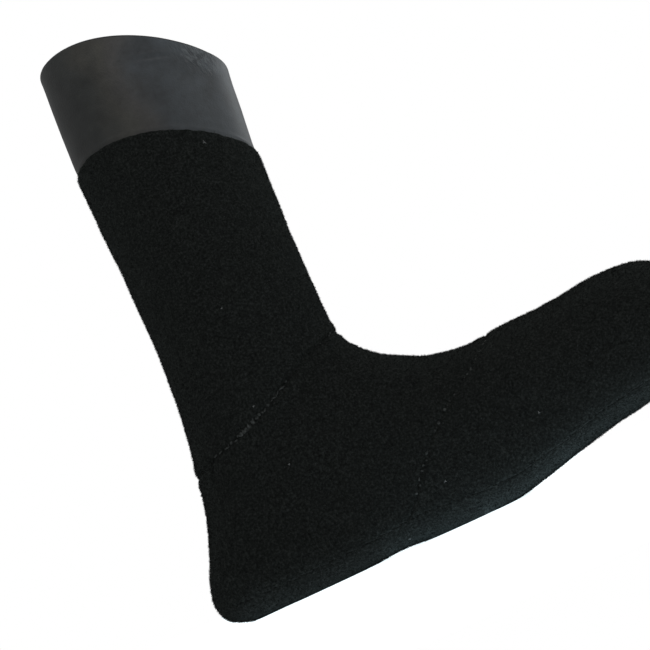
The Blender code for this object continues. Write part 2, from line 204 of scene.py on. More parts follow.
def half_ring(half, low_depth, high_depth, low_square, high_square, count):
    """One side of a section, from its low to its high point, in even steps: (outward, along)."""
    turn = np.linspace(0.0, math.pi, RING_SAMPLES)
    sine = np.clip(np.sin(turn), 0.0, 1.0)
    cosine = np.abs(np.cos(turn))
    square = np.where(turn < math.pi / 2, low_square, high_square)
    depth = np.where(turn < math.pi / 2, -low_depth, high_depth)
    outward = half * sine ** (2 / square)
    along = depth * cosine ** (2 / square)
    run = np.concatenate([[0.0], np.cumsum(np.hypot(np.diff(outward), np.diff(along)))])
    even = np.linspace(0.0, run[-1], count + 1)
    return np.interp(even, run, outward), np.interp(even, run, along)


round_half = half_ring(1.0, 1.0, 1.0, 2.0, 2.0, 2)
print("half of a round ring, outward:", round_half[0].round(3), "along:", round_half[1].round(3))

# %% The whole skin as closed rings


def skin_points(stations):
    """The boot's outside at these stations: rows of closed rings, each of AROUND points."""
    columns = [through(KNOTS, SECTION_ROWS[:, i], stations) for i in range(SECTION_ROWS.shape[1])]
    rings = []
    for low_x, low_z, high_x, high_z, half, axis, widest, low_square, high_square in zip(*columns):
        low = np.array([low_x, low_z])
        high = np.array([high_x, high_z])
        depth = np.hypot(*(high - low))
        heading = (high - low) / max(depth, 1e-9)
        middle = low + widest * (high - low)
        outward, along = half_ring(max(half, 0.0), widest * depth, (1 - widest) * depth,
                                   low_square, high_square, AROUND // 2)
        outward = np.concatenate([outward, -outward[-2:0:-1]])
        along = np.concatenate([along, along[-2:0:-1]])
        flat = middle + along[:, None] * heading
        rings.append(np.stack([flat[:, 0] - HEEL_REST, axis + outward, flat[:, 1]], axis=1))
    return np.array(rings)


def skin_normals(points):
    around = np.roll(points, -1, axis=1) - np.roll(points, 1, axis=1)
    along = np.gradient(points, axis=0)
    normals = np.cross(along, around)
    return normals / np.maximum(np.linalg.norm(normals, axis=2, keepdims=True), 1e-12)


TABLE_STATIONS = np.linspace(0.0, KNOTS[-1], 1200)
TABLE_POINTS = skin_points(TABLE_STATIONS)
print("form table:", TABLE_POINTS.shape[0], "rings of", TABLE_POINTS.shape[1], "points")

# %% The slanted rim and the seal's edge
EDGE_STEPS = 60
BEYOND = 0.030  # the edges run on this far past the leg


def arched_line(back, front, arch):
    """An edge across the leg from back to front and on past both, raised by arch in the middle."""
    share = np.linspace(-BEYOND / LEG_DEPTH, 1 + BEYOND / LEG_DEPTH, EDGE_STEPS)
    line = np.asarray(back) + share[:, None] * (np.asarray(front) - np.asarray(back))
    line[:, 1] += arch * np.sin(math.pi * np.clip(share, 0.0, 1.0))
    return line


def height_over(points, line, lean):
    """How far each point is above an edge that also climbs by lean towards the inner side."""
    edge = np.interp(points[..., 0] + HEEL_REST, line[:, 0], line[:, 1])
    return points[..., 2] - edge + lean * points[..., 1]


RIM_LINE = arched_line((LEG_SETBACK, RIM_HEIGHT),
                       (LEG_SETBACK + LEG_DEPTH, RIM_HEIGHT - RIM_DROP), RIM_ARCH)
SEAL_LINE = arched_line((LEG_SETBACK, RIM_HEIGHT + SEAL_RISE),
                        (LEG_SETBACK + LEG_DEPTH, RIM_HEIGHT + SEAL_RISE - SEAL_DROP), SEAL_ARCH)

print("the rim and the seal's edge are lines of", len(RIM_LINE), "and", len(SEAL_LINE), "points")

# %% Where the seal lies, and points at a given height


def seal_inset(over_rim):
    """How far the seal's outside lies inside the boot's outline, by its height over the rim."""
    share = np.clip(1 + over_rim / SEAL_FLARE, 0.0, 1.0)
    spread = share * share * (3 - 2 * share)
    lapped = WALL + 2 * SEAM_GAP
    return lapped + spread * (SEAL_STEP - lapped)


def crossing(stations, heights):
    """The station at which each column passes height 0 for the last time on its way up."""
    found = np.empty(heights.shape[1])
    for j in range(heights.shape[1]):
        last = np.nonzero(heights[:, j] < 0)[0][-1]
        low, high = heights[last, j], heights[last + 1, j]
        found[j] = stations[last] + (stations[last + 1] - stations[last]) * low / (low - high)
    return found


def at_stations(wanted, stations, points):
    """Points of a form table at stations that may differ from column to column."""
    made = np.empty((*wanted.shape, 3))
    for j in range(wanted.shape[1]):
        for axis in range(3):
            made[:, j, axis] = np.interp(wanted[:, j], stations, points[:, j, axis])
    return made


print("the seal lies inside the outline by, mm:", (seal_inset(np.array([-SEAL_FLARE, 0.0])) / MM).round(2))

# %% [markdown]
# ## Rows of the plush skin
# The fibres are short, so the skin under them needs small cells: about one millimetre each way.
# The rows fan out round the ankle with the sections, and above the ankle they are stretched so that
# the last one lies exactly on the slanted rim.

# %% Lay the rows
PLUSH_ROWS = 430
PILE_SINK = 0.0007  # the skin under the pile lies this far inside the boot's outline
LIP_RADIUS = (SEAL_STEP - SEAM_GAP) / 2


def even_run(first, last, count):
    """Stations a like distance apart on whichever of the sole and instep lines moves faster there."""
    fine = np.linspace(first, last, count * 6)
    low = np.hypot(*(np.diff(through(KNOTS, SECTION_ROWS[:, i], fine)) for i in (0, 1)))
    high = np.hypot(*(np.diff(through(KNOTS, SECTION_ROWS[:, i], fine)) for i in (2, 3)))
    run = np.concatenate([[0.0], np.cumsum(np.maximum(low, high))])
    return np.interp(np.linspace(0.0, run[-1], count + 1), run, fine)


rim_station = crossing(TABLE_STATIONS, height_over(TABLE_POINTS, RIM_LINE, RIM_LEAN) + LIP_RADIUS)
ankle_station = KNOTS[len(FOOT_SECTIONS) - 1]
top_station = rim_station.max()
rows = even_run(0.0, top_station, PLUSH_ROWS)
plush_stations = np.repeat(rows[:, None], AROUND, axis=1)
above = plush_stations > ankle_station
stretch = (rim_station - ankle_station) / (top_station - ankle_station)
plush_stations = np.where(above, ankle_station + (plush_stations - ankle_station) * stretch, plush_stations)
plush_base = at_stations(plush_stations, TABLE_STATIONS, TABLE_POINTS)
plush_base[0] = plush_base[0].mean(axis=0)
plush_normals = skin_normals(plush_base)
plush_normals[0] = (1.0, 0.0, 0.0)
plush_base -= plush_normals * PILE_SINK
plush_base[..., 2] = np.maximum(plush_base[..., 2], 0.0)
print("plush skin:", plush_base.shape, "lowest", plush_base[..., 2].min())

# %% [markdown]
# ## Where one panel ends and the next begins
# The boot is cut from four panels: sole, heel and midfoot, toe, and leg. Their seams were glued and
# then covered by the pile, so what shows is a soft valley. We measure how far each point of the skin
# is from each seam as seen from the side, because that is how the seams were drawn.

# %% Seam curves and distances
SEAM_STEPS = 60


def side_curve(points):
    """A seam's table as a smooth curve of (x, z) in the frame of the solids."""
    xs, zs = (np.array(points) * (FOOT_LENGTH, INSTEP_HEIGHT)).T
    knots = np.concatenate([[0.0], np.cumsum(np.hypot(np.diff(xs), np.diff(zs)))])
    at = np.linspace(0.0, knots[-1], SEAM_STEPS + 1)
    return np.stack([through(knots, xs, at) - HEEL_REST, through(knots, zs, at)], axis=1)


def side_distance(points, curve):
    """Distance to the curve seen from the side, positive on its left, and the run along the curve."""
    flat = points[..., [0, 2]]
    best = np.full(points.shape[:-1], np.inf)
    sign = np.ones(points.shape[:-1])
    along = np.zeros(points.shape[:-1])
    run = 0.0
    for a, b in zip(curve, curve[1:]):
        step = b - a
        length = np.hypot(*step)
        share = np.clip(((flat - a) @ step) / length**2, 0.0, 1.0)
        gap = flat - (a + share[..., None] * step)
        distance = np.hypot(gap[..., 0], gap[..., 1])
        nearer = distance < best
        best = np.where(nearer, distance, best)
        side = step[0] * gap[..., 1] - step[1] * gap[..., 0]
        sign = np.where(nearer, np.where(side >= 0, 1.0, -1.0), sign)
        along = np.where(nearer, run + share * length, along)
        run += length
    return best * sign, along


ankle_curve = side_curve(ANKLE_SEAM)
forefoot_curve = side_curve(FOREFOOT_SEAM)
sole_curve = side_curve(SOLE_SEAM)
to_ankle, along_ankle = side_distance(plush_base, ankle_curve)
to_forefoot, along_forefoot = side_distance(plush_base, forefoot_curve)
to_sole = side_distance(plush_base, sole_curve)[0]
nearest = np.minimum.reduce([abs(to_ankle), abs(to_forefoot), abs(to_sole)])
print("points within 2 mm of a seam:", int((nearest < 2 * MM).sum()))

# %% [markdown]
# ## Relief of the plush
# Deep plush over foam is never flat. There are three sizes of relief on it: slow hollows where the
# foam was handled, tufts of one or two millimetres where the fibres clump, and the valleys of the
# seams. A material could fake them, but the outline would stay smooth. So each is a height field, and
# the skin is moved along its normals by their sum.

# %% Random but repeatable lumps
LATTICE = 32
PATTERN_SHIFT = 100.0


def lumps(points, size, seed):
    """Soft random relief between -1 and 1 with lumps of this size."""
    rng = np.random.default_rng(seed)
    rng = np.random.default_rng(seed)
    lattice = rng.uniform(-1.0, 1.0, (LATTICE, LATTICE, LATTICE))
    turn = np.linalg.qr(rng.normal(size=(3, 3)))[0]
    at = points @ turn / size + PATTERN_SHIFT
    cell = np.floor(at).astype(int)
    share = at - cell
    share = share * share * (3 - 2 * share)
    total = np.zeros(points.shape[:-1])
    for dx, dy, dz in itertools.product((0, 1), repeat=3):
        weight = np.abs(1 - dx - share[..., 0]) * np.abs(1 - dy - share[..., 1])
        weight = weight * np.abs(1 - dz - share[..., 2])
        spot = (cell + (dx, dy, dz)) % LATTICE
        total += weight * lattice[spot[..., 0], spot[..., 1], spot[..., 2]]
    return total


Layer = namedtuple("Layer", "height size seed")


def layered(points, layers, shift=0):
    """Several layers of lumps added up. A layer's size is in millimetres."""
    return sum(layer.height * lumps(points, layer.size * MM, layer.seed + shift) for layer in layers)


def bell(distance, width):
    return np.exp(-((distance / width) ** 2))


print("lumps at the first ring:", lumps(plush_base[1, :4], 5 * MM, 1).round(2))

# %% Creases and grooves placed one by one
Crease = namedtuple("Crease", "start middle end depth width")

# x and z in millimetres from the heel rest, as seen from the side
CREASES = [
    Crease((57, 97), (72, 87), (92, 76), 0.9, 3.2),
    Crease((50, 95), (66, 78), (88, 64), 0.6, 4.0),
    Crease((44, 92), (56, 72), (74, 54), 0.4, 4.5),
    Crease((63, 122), (48, 118), (34, 120), 0.5, 5.0),
    Crease((126, 72), (140, 66), (158, 66), 0.5, 5.0),
    Crease((-22, 40), (-6, 30), (14, 27), 0.35, 6.0),
]
HEEL_GROOVE = [(-14.5, 75.0), (-16.2, 69.5), (-16.2, 63.0), (-17.0, 56.0), (-19.5, 47.0), (-23.0, 38.0)]
GROOVE_DEPTH = 0.9
GROOVE_BANK = 0.35


def curve_mm(points, count=24):
    """A smooth curve through points given in millimetres, and its length in metres."""
    flat = np.array(points, float) * MM
    knots = np.concatenate([[0.0], np.cumsum(np.hypot(*np.diff(flat, axis=0).T))])
    at = np.linspace(0.0, knots[-1], count)
    return np.stack([through(knots, flat[:, 0], at), through(knots, flat[:, 1], at)], axis=1), knots[-1]


print("the heel's groove is", round(curve_mm(HEEL_GROOVE)[1] / MM, 1), "mm long")

# %% Creases as relief


def creased(points, creases, ends, power, bank, bank_at):
    """Troughs with a low bank on both sides, which fade out towards their ends."""
    total = np.zeros(points.shape[:-1])
    for crease in creases:
        curve, length = curve_mm([crease.start, crease.middle, crease.end])
        distance, along = side_distance(points, curve)
        fade = np.sin(math.pi * np.clip(along / length, *ends)) ** power
        ridge = bell(np.abs(distance) - bank_at * crease.width * MM, crease.width * MM)
        total += crease.depth * MM * fade * (bank * ridge - bell(distance, crease.width * MM))
    return total


def plush_creases(points):
    total = creased(points, CREASES, (0.02, 0.98), 0.7, 0.4, 2.0)
    curve, length = curve_mm(HEEL_GROOVE)
    distance, along = side_distance(points, curve)
    fade = np.clip(1.15 - along / length, 0.0, 1.0)
    bank = GROOVE_BANK * bell(np.abs(distance) - 3.0 * MM, 2.2 * MM)
    total += MM * fade * (bank - GROOVE_DEPTH * bell(distance, 1.2 * MM))
    return total


# %% All the relief of the plush
SLOW_HOLLOWS = [Layer(0.32, 17, 3), Layer(0.22, 8, 4)]
TUFTS = [Layer(0.10, 2.3, 5), Layer(0.22, 1.1, 6)]


def seam_relief(distance, depth, width):
    """A valley with soft shoulders."""
    shoulder = bell(np.abs(distance) - 2.6 * width, 1.8 * width)
    return depth * (0.28 * shoulder - bell(distance, width))


def plush_relief(points):
    seams = (
        seam_relief(to_ankle, 0.95, 1.3 * MM)
        + np.where(to_sole > 0, seam_relief(to_forefoot, 0.55, 1.1 * MM), 0.0)
        + seam_relief(to_sole, 0.05, 1.4 * MM)
    )
    return MM * (layered(points, SLOW_HOLLOWS) + layered(points, TUFTS) + seams) + plush_creases(points)


relief = plush_relief(plush_base)
relief[0] = relief[0].mean()
plush_outer = plush_base + plush_normals * relief[..., None]
plush_outer[..., 2] = np.maximum(plush_outer[..., 2], 0.0)
print("relief in mm, from", round(relief.min() / MM, 2), "to", round(relief.max() / MM, 2))

# %% [markdown]
# ## Inside face and rolled rim
# A wall has two faces. The inner one is the same skin moved inwards by the wall, and by the whole sole
# where the skin faces down. At the rim the plush rolls over a small ragged lip, half a turn round, and
# disappears behind the ankle seal.

# %% The inner face
sole_share = np.clip((-plush_normals[..., 2] - 0.5) / 0.35, 0.0, 1.0)
thickness = WALL + (SOLE_THICKNESS - WALL) * sole_share
thinned = seal_inset(height_over(plush_base, RIM_LINE, RIM_LEAN)) - SEAM_GAP
thickness = np.minimum(thickness, thinned) - PILE_SINK
plush_inner = plush_base - plush_normals * thickness[..., None]
print("walls in mm, from", round(thickness.min() / MM, 2), "to", round(thickness.max() / MM, 2))

# %% The rolled lip
LIP_STEPS = 8
LIP_TURNS = np.linspace(0.0, math.pi, LIP_STEPS + 2)[1:-1]


def rolled_lip(outer, inner, normals, up, rise):
    """Rows over the top of a wall, from its outer to its inner face."""
    middle = (outer[-1] + inner[-1]) / 2
    half = np.linalg.norm(outer[-1] - inner[-1], axis=1, keepdims=True) / 2
    return np.array([
        middle + normals * half * math.cos(turn) + up * rise * math.sin(turn) for turn in LIP_TURNS
    ])


rim_normals = plush_normals[-1]
rim_up = plush_base[-1] - plush_base[-4]
rim_up -= (rim_up * rim_normals).sum(axis=1, keepdims=True) * rim_normals
rim_up /= np.linalg.norm(rim_up, axis=1, keepdims=True)
plush_lip = rolled_lip(plush_outer, plush_inner, rim_normals, rim_up, LIP_RADIUS)
plush_lip += rim_normals * (0.25 * MM * lumps(plush_lip, 2.2 * MM, 7))[..., None]
plush_lip += rim_up * (0.40 * MM * lumps(plush_lip, 2.4 * MM, 8))[..., None]
print("lip:", plush_lip.shape, "top of the rim, mm:", round(plush_lip[..., 2].max() / MM, 1))

# %% Which panel each cell belongs to
over_sole = to_sole[:-1] > 0
over_ankle = to_ankle[:-1] > 0
in_front = to_forefoot[:-1] < 0
PANEL_CELLS = {
    "sole": ~over_sole,
    "shaft": over_sole & over_ankle,
    "toe_panel": over_sole & ~over_ankle & in_front,
    "upper": over_sole & ~over_ankle & ~in_front,
}
print({name: int(cells.sum()) for name, cells in PANEL_CELLS.items()})

# %% [markdown]
# ## Materials
# Black plush is dark because light that goes in between the fibres doesn't come out again. What shows
# is a low matt grey with darker and lighter tufts, and a soft sheen where fibres are seen from the
# side. The hidden side is a plain dark knit. All patterns are made from positions, not images.

# %% A material with its main values


def new_material(name, colour, roughness, specular, sheen=0.0, sheen_tint=(1.0, 1.0, 1.0)):
    made = bpy.data.materials.new(name)
    made.use_nodes = True
    shader = made.node_tree.nodes["Principled BSDF"]
    settings = {
        "Base Color": (*colour, 1.0), "Roughness": roughness, "Specular IOR Level": specular,
        "Sheen Weight": sheen, "Sheen Roughness": 0.5, "Sheen Tint": (*sheen_tint, 1.0),
    }
    for key, value in settings.items():
        shader.inputs[key].default_value = value
    made.diffuse_color = (*colour, 1.0)
    return made, made.node_tree, shader


# %% Nodes, and patterns made from positions


def fed(tree, kind, inputs, output, **settings):
    """A new node's output. Each input is a plain value or the output of another node."""
    made = tree.nodes.new(kind)
    for key, value in settings.items():
        setattr(made, key, value)
    for key, value in inputs.items():
        if isinstance(value, bpy.types.NodeSocket):
            tree.links.new(value, made.inputs[key])
        else:
            made.inputs[key].default_value = value
    return made.outputs[output]


def position(tree):
    return tree.nodes.new("ShaderNodeTexCoord").outputs["Object"]


def noise(tree, scale, detail=3.0, rough=0.55, at=None):
    inputs = {"Vector": position(tree) if at is None else at, "Scale": scale, "Detail": detail,
              "Roughness": rough}
    return fed(tree, "ShaderNodeTexNoise", inputs, "Fac")


def bumped(tree, height, strength, distance, over=None):
    """A surface made uneven by a height, over another unevenness if there is one."""
    inputs = {"Height": height, "Strength": strength, "Distance": distance}
    if over is not None:
        inputs["Normal"] = over
    return fed(tree, "ShaderNodeBump", inputs, "Normal")


def colour_ramp(tree, source, stops):
    ramp = tree.nodes.new("ShaderNodeValToRGB")
    while len(ramp.color_ramp.elements) < len(stops):
        ramp.color_ramp.elements.new(0.5)
    for element, (place, colour) in zip(ramp.color_ramp.elements, stops):
        element.position = place
        element.color = (*colour, 1.0)
    tree.links.new(source, ramp.inputs["Fac"])
    return ramp.outputs["Color"]


# %% Plush, knit and fibres
PLUSH_SHEEN = 0.035
PLUSH_SHEEN_TINT = (0.90, 1.0, 0.96)
FIBRE_TONES = {"fibre_dark": 0.0096, "fibre_mid": 0.0190, "fibre_light": 0.0440}


def plush_material():
    """The ground under the fibres."""
    made, tree, shader = new_material("black_plush", (0.008, 0.0088, 0.0083), 1.0, 0.0, PLUSH_SHEEN,
                                      PLUSH_SHEEN_TINT)
    tones = colour_ramp(tree, noise(tree, 900.0, 3.0, 0.6), [
        (0.30, (0.0060, 0.0066, 0.0062)),
        (0.52, (0.0135, 0.0149, 0.0140)),
        (0.74, (0.0290, 0.0319, 0.0300)),
    ])
    tree.links.new(tones, shader.inputs["Base Color"])
    tree.links.new(bumped(tree, noise(tree, 1500.0, 2.0, 0.6), 0.8, 0.0006), shader.inputs["Normal"])
    return made


def lining_material():
    """The hidden side."""
    made, tree, shader = new_material("inner_knit", (0.018, 0.018, 0.019), 0.8, 0.3, 0.1)
    knit = noise(tree, 900.0, 2.0)
    tones = colour_ramp(tree, knit, [(0.35, (0.012, 0.012, 0.013)), (0.65, (0.026, 0.026, 0.028))])
    tree.links.new(tones, shader.inputs["Base Color"])
    tree.links.new(bumped(tree, knit, 0.4, 0.0003), shader.inputs["Normal"])
    return made


def fibre_materials():
    """Three plain tones of fibre, which are mixed over the pile."""
    made = []
    for name, level in FIBRE_TONES.items():
        colour = (level, level * 1.10, level * 1.03)
        made.append(new_material(name, colour, 1.0, 0.0, PLUSH_SHEEN, PLUSH_SHEEN_TINT)[0])
    return made


plush = plush_material()
lining = lining_material()
fibres = fibre_materials()
print("plush materials:", plush.name, lining.name, [f.name for f in fibres])

# %% [markdown]
# ## Four plush panels
# Each panel is one closed wall: outer face, inner face and the cut edges between them. It could be a
# plane with a thickness added, but then the edges along the seams would gape. Here neighbours share the
# same points along a seam, so no light gets in between.

# %% A mesh object from points and faces


def mesh_piece(name, vertices, faces, looks, slots=None, smooth=True):
    data = bpy.data.meshes.new(name)
    data.from_pydata(vertices, [], faces)
    for look in looks:
        data.materials.append(look)
    if slots is not None:
        data.polygons.foreach_set("material_index", np.asarray(slots, dtype=np.int32))
    shading = np.full(len(data.polygons), smooth) if slots is None else np.asarray(slots) == 0
    data.polygons.foreach_set("use_smooth", shading & smooth)
    data.validate()
    data.update()
    made = bpy.data.objects.new(name, data)
    bpy.context.scene.collection.objects.link(made)
    return made


# %% A closed wall over chosen cells


def wall_mesh(outer, inner, cells, lip=None, lip_slot=0):
    """Vertices, faces and face slots of a closed wall over the chosen cells of a grid of rings."""
    row_count, ring = outer.shape[:2]
    index = np.arange(row_count * ring).reshape(row_count, ring)
    if np.ptp(outer[0], axis=0).max() < 1e-9:
        index[0] = 0
    shift = row_count * ring
    around = np.roll(index, -1, axis=1)
    quads = np.stack([index[:-1], around[:-1], around[1:], index[1:]], axis=2)
    chosen = quads[cells]
    faces = [*chosen, *(chosen[:, ::-1] + shift)]
    slots = [0] * len(chosen) + [1] * len(chosen)
    padded = np.pad(cells, ((1, 1), (0, 0)))
    first = padded[1:] & ~padded[:-1]
    first[0] = False
    last = padded[:-1] & ~padded[1:]
    last[-1] &= lip is None
    left = cells & ~np.roll(cells, 1, axis=1)
    right = cells & ~np.roll(cells, -1, axis=1)
    edges = [(around[first], index[first]), (index[last], around[last]),
             (index[:-1][left], index[1:][left]), (around[1:][right], around[:-1][right])]
    for near, far in edges:
        faces.extend(np.stack([near, far, far + shift, near + shift], axis=1))
        slots.extend([1] * len(near))
    vertices = [outer.reshape(-1, 3), inner.reshape(-1, 3)]
    if lip is not None:
        first = 2 * row_count * ring
        lip_index = first + np.arange(lip.shape[0] * ring).reshape(lip.shape[0], ring)
        chain = np.vstack([index[-1:], lip_index, index[-1:] + shift])
        for near, far in zip(chain, chain[1:]):
            faces.extend(np.stack([near, np.roll(near, -1), np.roll(far, -1), far], axis=1))
            slots.extend([lip_slot] * ring)
        vertices.append(lip.reshape(-1, 3))
    vertices = np.vstack(vertices)
    used = np.unique(np.concatenate([np.asarray(f) for f in faces]))
    renumber = np.zeros(len(vertices), int)
    renumber[used] = np.arange(len(used))
    faces = [list(dict.fromkeys(renumber[np.asarray(face)].tolist())) for face in faces]
    kept = [k for k, face in enumerate(faces) if len(face) > 2]
    return vertices[used], [faces[k] for k in kept], [slots[k] for k in kept]


# %% Make the panels
for node, cells in PANEL_CELLS.items():
    lip = plush_lip if node == "shaft" else None
    vertices, faces, slots = wall_mesh(plush_outer, plush_inner, cells, lip)
    piece = mesh_piece("plush_" + node, vertices, faces, [plush, lining], slots)
    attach(piece, "root")
    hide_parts(node)
    print(piece.name, len(vertices), "points", len(faces), "faces")

# %% [markdown]
# ## The pile
# What makes plush look like plush is its outline: fibres stand a millimetre or so proud and catch the
# light from behind. Blender's own hair would do for a picture, but it isn't a mesh. Here each fibre is
# one thin pointed triangle, rooted in the skin. It leans at random, with its tuft, and a little towards
# the toe. Its tone is one of three, in flecks. Light and shade are painted into the tones: fibres are
# made paler high on the leg, as painted light from above, and darker low at the heel, as painted shade.

# %% Where fibres grow
FIBRES_PER_SQUARE_MM = 3.2
PILE_ON_LIP = 4  # rows of the rolled lip that carry pile

PILE_ROWS = np.concatenate([plush_outer, plush_lip[:PILE_ON_LIP]])
PILE_NORMALS = np.concatenate([plush_normals, [
    rim_normals * math.cos(turn) + rim_up * math.sin(turn) for turn in LIP_TURNS[:PILE_ON_LIP]
]])
print("rows that carry pile:", len(PILE_ROWS))

# %% How a fibre leans and which tone it has
LEAN_BY_CHANCE = 0.32
LEAN_WITH_TUFT = 1.4
LEAN_TO_TOE = 0.25
LEAN_TAKEN_OFF = 0.9  # the share of the lean along the skin's normal that is dropped
TUFT_SIZE = 0.85  # fibres this many millimetres apart lean alike
FLECKS = [Layer(0.62, 0.80, 15), Layer(0.15, 1.5, 16)]
FLECK_CHANCE = 0.22
# painted light and shade: fibres above this height are made paler, and those below it at the heel darker,
# by this much
PAINTED_LIGHT_DRIFT = 0.12
PAINTED_LIGHT_HEIGHT = 0.12
TONE_LIMITS = (0.0, 0.42)
print("tones of flecks at -0.5, 0.2 and 0.8:", np.digitize((-0.5, 0.2, 0.8), TONE_LIMITS))


def fibre_headings(root, normal, toeward, rng, seed):
    """Which way each fibre points."""
    toeward = toeward / np.maximum(np.linalg.norm(toeward, axis=1, keepdims=True), 1e-9)
    tuft = np.stack([lumps(root, TUFT_SIZE * MM, seed + n) for n in (11, 12, 13)], axis=1)
    chance = rng.normal(size=root.shape)
    lean = LEAN_BY_CHANCE * chance + LEAN_WITH_TUFT * tuft + LEAN_TO_TOE * toeward
    heading = normal + lean - LEAN_TAKEN_OFF * (lean * normal).sum(axis=1, keepdims=True) * normal
    return heading / np.linalg.norm(heading, axis=1, keepdims=True)


def fibre_tones(root, rng, seed):
    """0 for dark, 1 for mid and 2 for light."""
    fleck = layered(root, FLECKS, seed) + FLECK_CHANCE * rng.normal(size=len(root))
    # painted light from above high on the leg and painted shade low at the heel, added to the flecks
    high = np.clip((root[:, 2] - PAINTED_LIGHT_HEIGHT) / 0.06, -1.0, 1.0)
    back = np.clip((0.13 - root[:, 0]) / 0.04, 0.0, 1.0)
    fleck = fleck + PAINTED_LIGHT_DRIFT * np.where(high > 0, high, high * back)
    return np.digitize(fleck, TONE_LIMITS)


# %% Grow the fibres
FIBRE_LENGTH = 0.00120
FIBRE_WIDTH = 0.00024
ROOT_DEPTH = 0.15


def grow_pile(name, cells, seed):
    rng = np.random.default_rng(seed)
    i, j = np.argwhere(cells).T
    k = (j + 1) % AROUND
    corners = [PILE_ROWS[i, j], PILE_ROWS[i, k], PILE_ROWS[i + 1, k], PILE_ROWS[i + 1, j]]
    area = np.linalg.norm(np.cross(corners[2] - corners[0], corners[3] - corners[1]), axis=1) / 2
    count = int(area.sum() * 1e6 * FIBRES_PER_SQUARE_MM)
    pick = np.searchsorted(np.cumsum(area) / area.sum(), rng.random(count))
    pick = np.minimum(pick, len(area) - 1)
    u = rng.random((count, 1))
    v = rng.random((count, 1))
    a, b, c, d = (corner[pick] for corner in corners)
    root = (1 - v) * ((1 - u) * a + u * b) + v * ((1 - u) * d + u * c)
    normal = PILE_NORMALS[i, j][pick]
    heading = fibre_headings(root, normal, a - d, rng, seed)
    uneven = (1 + 0.2 * lumps(root, 1.0 * MM, seed + 14))[:, None]
    length = FIBRE_LENGTH * rng.uniform(0.55, 1.15, (count, 1)) * uneven
    across = np.cross(heading, rng.normal(size=(count, 3)))
    across /= np.linalg.norm(across, axis=1, keepdims=True)
    half = across * FIBRE_WIDTH / 2 * rng.uniform(0.7, 1.3, (count, 1))
    start = root - normal * ROOT_DEPTH * MM
    blades = np.stack([start - half, start + half, start + heading * length], axis=1)
    blades[..., 2] = np.maximum(blades[..., 2], 0.0)
    tones = fibre_tones(root, rng, seed)
    triangles = np.arange(count * 3).reshape(count, 3).tolist()
    return mesh_piece(name, blades.reshape(-1, 3), triangles, fibres, tones, smooth=False), count


total_fibres = 0
for seed, (node, cells) in enumerate(PANEL_CELLS.items()):
    over_lip = np.full((PILE_ON_LIP, AROUND), node == "shaft")
    piece, count = grow_pile("pile_" + node, np.vstack([cells, over_lip]), 100 + 20 * seed)
    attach(piece, "root")
    total_fibres += count
    print(piece.name, count, "fibres")
print("fibres in all:", total_fibres)

# %% [markdown]
# ## The ankle seal
# The seal is a tube of thin foam with its cast skin outwards. It is glued inside the leg, whose wall is
# thinned under the rim, so the seal leaves the rim almost flush and runs straight up to its own slanted
# edge, where it flares a little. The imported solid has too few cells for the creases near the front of
# that edge, so a finer tube of the same form takes its place.

# %% The seal's own form
SEAL_ROWS = 110
SEAL_LIP = SEAL_WALL / 2

table_normals = skin_normals(TABLE_POINTS)
table_inset = seal_inset(height_over(TABLE_POINTS, RIM_LINE, RIM_LEAN))
seal_table = TABLE_POINTS - table_normals * table_inset[..., None]
low_station = crossing(TABLE_STATIONS, height_over(seal_table, RIM_LINE, RIM_LEAN) + SEAL_LAP)
high_station = crossing(TABLE_STATIONS, height_over(seal_table, SEAL_LINE, SEAL_LEAN) + SEAL_LIP)
share = np.linspace(0.0, 1.0, SEAL_ROWS + 1)[:, None]
seal_stations = low_station + share * (high_station - low_station)
seal_base = at_stations(seal_stations, TABLE_STATIONS, seal_table)
seal_normals = skin_normals(seal_base)
print("seal:", seal_base.shape, "top, mm:", round(seal_base[..., 2].max() / MM, 1))

# %% Its creases, placed one by one
SEAL_WRINKLES = [
    Crease((47.0, 268.5), (49.0, 265.0), (52.0, 258.0), 0.12, 0.75),
    Crease((49.5, 268.0), (51.8, 263.5), (54.8, 256.0), 0.16, 0.75),
    Crease((52.0, 267.2), (54.5, 262.0), (57.6, 254.5), 0.20, 0.75),
    Crease((54.4, 266.2), (57.0, 261.0), (59.6, 254.0), 0.15, 0.75),
    Crease((56.8, 265.2), (59.2, 260.5), (61.4, 254.0), 0.20, 0.75),
    Crease((59.0, 264.2), (61.3, 259.8), (63.2, 254.0), 0.14, 0.75),
    Crease((61.2, 263.4), (63.2, 259.0), (64.8, 254.0), 0.12, 0.75),
    Crease((26.0, 269.5), (37.0, 267.0), (50.0, 264.8), 0.36, 1.2),
    Crease((-12.0, 262.0), (6.0, 258.0), (24.0, 262.0), 0.14, 3.0),
]
print("creases on the seal:", len(SEAL_WRINKLES))

# %% All the relief of the seal
SEAL_HOLLOWS = [Layer(0.30, 26, 41), Layer(0.10, 9, 42)]
RIM_ROLL = 0.22  # a soft roll just above the rim
EDGE_FLARE = 0.35  # the seal opens out a little over the last 12 mm
FLARE_REACH = 12


def seal_relief(points):
    side = np.where(points[..., 1] < 0, 1.0, 0.5)  # the creases are weaker on the outer side
    total = MM * layered(points, SEAL_HOLLOWS) + side * creased(points, SEAL_WRINKLES, (0, 1), 1, 0.6, 1.6)
    rise = height_over(points, RIM_LINE, RIM_LEAN)
    total = total * np.clip((rise - 1 * MM) / (6 * MM), 0.0, 1.0)
    total = total + RIM_ROLL * MM * bell(rise - 1.9 * MM, 1.2 * MM) * (1 + lumps(points, 7 * MM, 43))
    below_edge = -height_over(points, SEAL_LINE, SEAL_LEAN)
    return total + EDGE_FLARE * MM * np.clip(1 - below_edge / (FLARE_REACH * MM), 0.0, 1.0) ** 2


